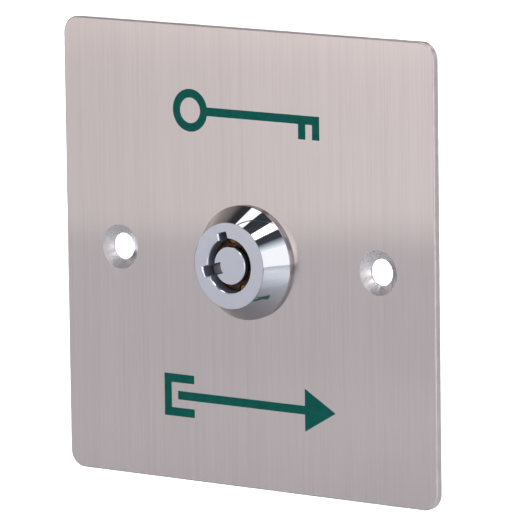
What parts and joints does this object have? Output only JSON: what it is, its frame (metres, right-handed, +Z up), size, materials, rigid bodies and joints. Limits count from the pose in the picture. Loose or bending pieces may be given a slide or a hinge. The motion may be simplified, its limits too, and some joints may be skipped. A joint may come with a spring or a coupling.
{
  "type": "selector key switch",
  "caption": "Square satin steel wall plate with a tubular key lock at its centre; the lock turns a cam that works a snap switch on a bracket behind the plate.",
  "frame": {"origin": "at the middle of the plate's back face, which lies on the wall", "axes": "the plate faces -Y, +X is to the right seen from the front, +Z is up, +Y goes into the wall"},
  "size_m": [0.086, 0.0328, 0.086],
  "materials": {
    "plate_steel": "vertical satin grain",
    "sign_ink": "screen-printed ink",
    "chrome": "bright nickel-chrome plate",
    "turned_steel": "plated, fine turned face",
    "brass": "turned",
    "nickel": "dull nickel plate",
    "zinc": "bright zinc plate",
    "spring_steel": "drawn wire and strip",
    "black_plastic": "moulded, fine texture",
    "red_plastic": "moulded",
    "contact_brass": "stamped strip",
    "silver": "contact silver"
  },
  "bodies": {
    "housing": {"face_plate": "plate_steel", "key_sign": "sign_ink", "way_out_sign": "sign_ink", "lock_case": "chrome", "tooth_washer": "zinc", "panel_nut": "nickel", "pin_springs": "spring_steel", "pin_bushing": "brass", "case_pin": "spring_steel", "rear_bracket": "zinc", "bracket_screws": "zinc", "switch_case": "black_plastic", "switch_cover": "black_plastic", "blade_pin": "spring_steel", "snap_spring": "spring_steel", "common_terminal": "contact_brass", "open_terminal": "contact_brass", "closed_terminal": "contact_brass", "fixed_contacts": "silver", "switch_screws": "zinc", "switch_nuts": "nickel"},
    "rotor": {"spindle": "turned_steel", "stop_washer": "zinc", "switch_cam": "zinc", "cam_washer": "spring_steel", "cam_nut": "nickel"},
    "key_pins": {"key_pins": "brass"},
    "driver_pins": {"driver_pins": "brass"},
    "plunger": {"switch_plunger": "red_plastic"},
    "blade": {"contact_blade": "contact_brass", "blade_contact": "silver"}
  },
  "joints": [
    {"name": "key_turn", "type": "hinge", "parent": "housing", "child": "rotor", "pos_m": [-0.00025, 0, -0.0005], "axis": [0, 1, 0], "range_deg": [0, 90]},
    {"name": "key_pins_press", "type": "slide", "parent": "rotor", "child": "key_pins", "axis": [0, 1, 0], "range_m": [-0.0004, 0.0016], "stiffness_N_per_m": 300, "springref_m": -0.004},
    {"name": "driver_pins_press", "type": "slide", "parent": "housing", "child": "driver_pins", "axis": [0, 1, 0], "range_m": [-0.0004, 0.0016], "deforming": ["pin_springs"]},
    {"name": "plunger_slide", "type": "slide", "parent": "housing", "child": "plunger", "axis": [0, 0, -1], "range_m": [0, 0.00075]},
    {"name": "blade_swing", "type": "hinge", "parent": "housing", "child": "blade", "pos_m": [-0.00785, 0.0212, -0.0108], "axis": [0, 1, 0], "range_deg": [0, 5.4], "deforming": ["snap_spring"]}
  ],
  "couplings": [
    {"joint": "driver_pins_press", "follows": "key_pins_press", "ratio": 1},
    {"joint": "plunger_slide", "follows": "key_turn", "m_per_rad": 0.00047746},
    {"joint": "blade_swing", "follows": "key_turn", "ratio": 0.06}
  ]
}
